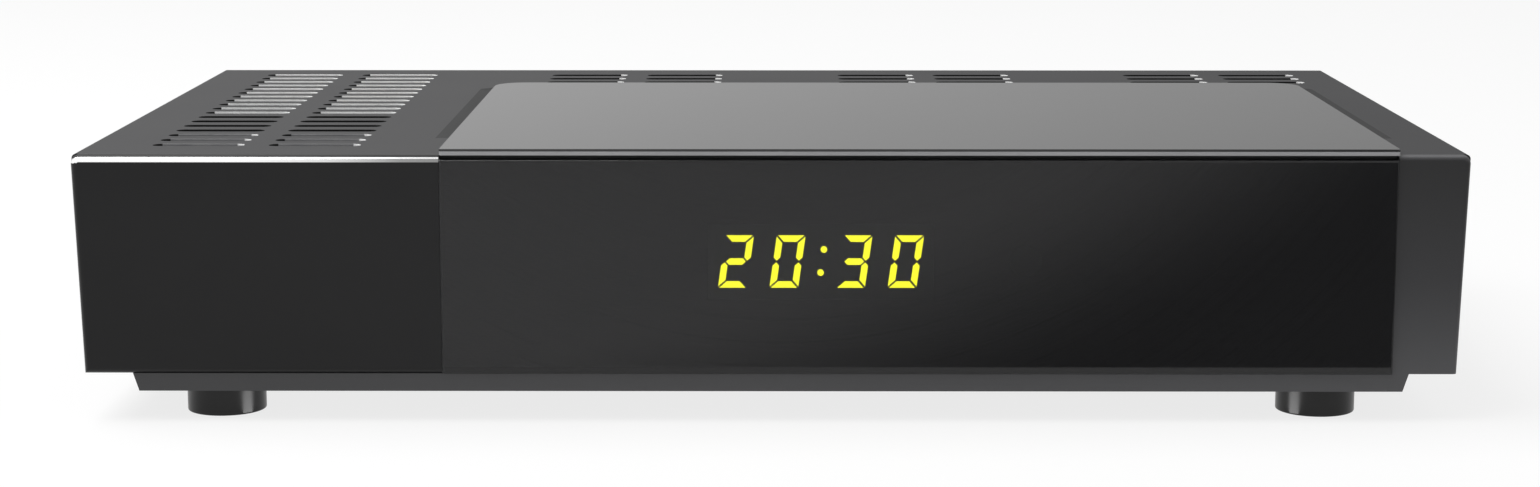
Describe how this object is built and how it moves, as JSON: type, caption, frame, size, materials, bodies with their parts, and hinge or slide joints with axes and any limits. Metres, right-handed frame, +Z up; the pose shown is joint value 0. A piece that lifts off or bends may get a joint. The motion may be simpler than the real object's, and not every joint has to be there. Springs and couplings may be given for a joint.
{
  "type": "satellite tv receiver",
  "caption": "Low set-top satellite tv receiver with a glossy display window, vented metal cover, clock display, raised top plate, round feet, rear sockets and a rocker power switch.",
  "frame": {"origin": "on the floor under the middle of the receiver's overall box, sockets included", "axes": "+X to the right seen from the front, +Y to the rear with the sockets, +Z up; the front window faces -Y"},
  "size_m": [0.2612, 0.162, 0.0522],
  "materials": {
    "cover_metal": "satin powder coat",
    "tray_metal": "satin powder coat",
    "plate_plastic": "gloss",
    "bezel_plastic": "satin",
    "fascia_plastic": "satin",
    "window_plastic": "polished, smoked",
    "display_plastic": "matt",
    "lit_plastic": "lit, yellow",
    "unlit_plastic": "unlit",
    "foot_rubber": "matt",
    "screw_steel": "zinc plated",
    "board_laminate": "solder mask",
    "receiver_plastic": "dark, clear",
    "can_tinplate": "tin plate",
    "socket_nickel": "nickel plate",
    "insulator_plastic": "moulded",
    "chip_plastic": "moulded",
    "heatsink_aluminium": "black anodised",
    "capacitor_sleeve": "shrink sleeve",
    "connector_plastic": "moulded",
    "coil_tape": "tape and varnish",
    "fuse_case": "moulded",
    "wire_sleeve": "insulation",
    "plug_nylon": "nylon"
  },
  "bodies": {
    "case": {"top_cover": "cover_metal", "chassis_base": "tray_metal", "top_plate": "plate_plastic", "front_bezel": "bezel_plastic", "left_fascia": "fascia_plastic", "front_window": "window_plastic", "led_display": "display_plastic", "lit_segments": "lit_plastic", "unlit_segments": "unlit_plastic", "foot_front_left": "foot_rubber", "foot_front_right": "foot_rubber", "foot_rear_left": "foot_rubber", "foot_rear_right": "foot_rubber", "cover_screws": "screw_steel", "main_board": "board_laminate", "display_board": "board_laminate", "power_board": "board_laminate", "infrared_receiver": "receiver_plastic", "tuner_can": "can_tinplate", "lnb_socket": "socket_nickel", "loop_socket": "socket_nickel", "socket_nuts": "socket_nickel", "hdmi_shell": "socket_nickel", "usb_shell": "socket_nickel", "audio_socket": "socket_nickel", "inlet_pins": "socket_nickel", "switch_terminals": "socket_nickel", "socket_insulators": "insulator_plastic", "hdmi_tongue": "insulator_plastic", "usb_tongue": "insulator_plastic", "main_processor": "chip_plastic", "memory_chips": "chip_plastic", "power_transistor": "chip_plastic", "processor_heatsink": "heatsink_aluminium", "power_heatsink": "heatsink_aluminium", "board_capacitors": "capacitor_sleeve", "bulk_capacitor": "capacitor_sleeve", "output_capacitors": "capacitor_sleeve", "scart_socket": "connector_plastic", "audio_housing": "connector_plastic", "mains_inlet": "connector_plastic", "switch_housing": "connector_plastic", "power_transformer": "coil_tape", "line_filter": "coil_tape", "fuse_link": "fuse_case", "power_cable": "wire_sleeve", "mains_wires": "wire_sleeve", "display_ribbon": "wire_sleeve", "board_supports": "plug_nylon", "power_plugs": "plug_nylon", "ribbon_connectors": "plug_nylon"},
    "rocker": {"switch_rocker": "connector_plastic"}
  },
  "joints": [
    {"name": "power_switch", "type": "hinge", "parent": "case", "child": "rocker", "pos_m": [-0.084, 0.0704, 0.026], "axis": [1, 0, 0], "range_deg": [0, 16]}
  ]
}
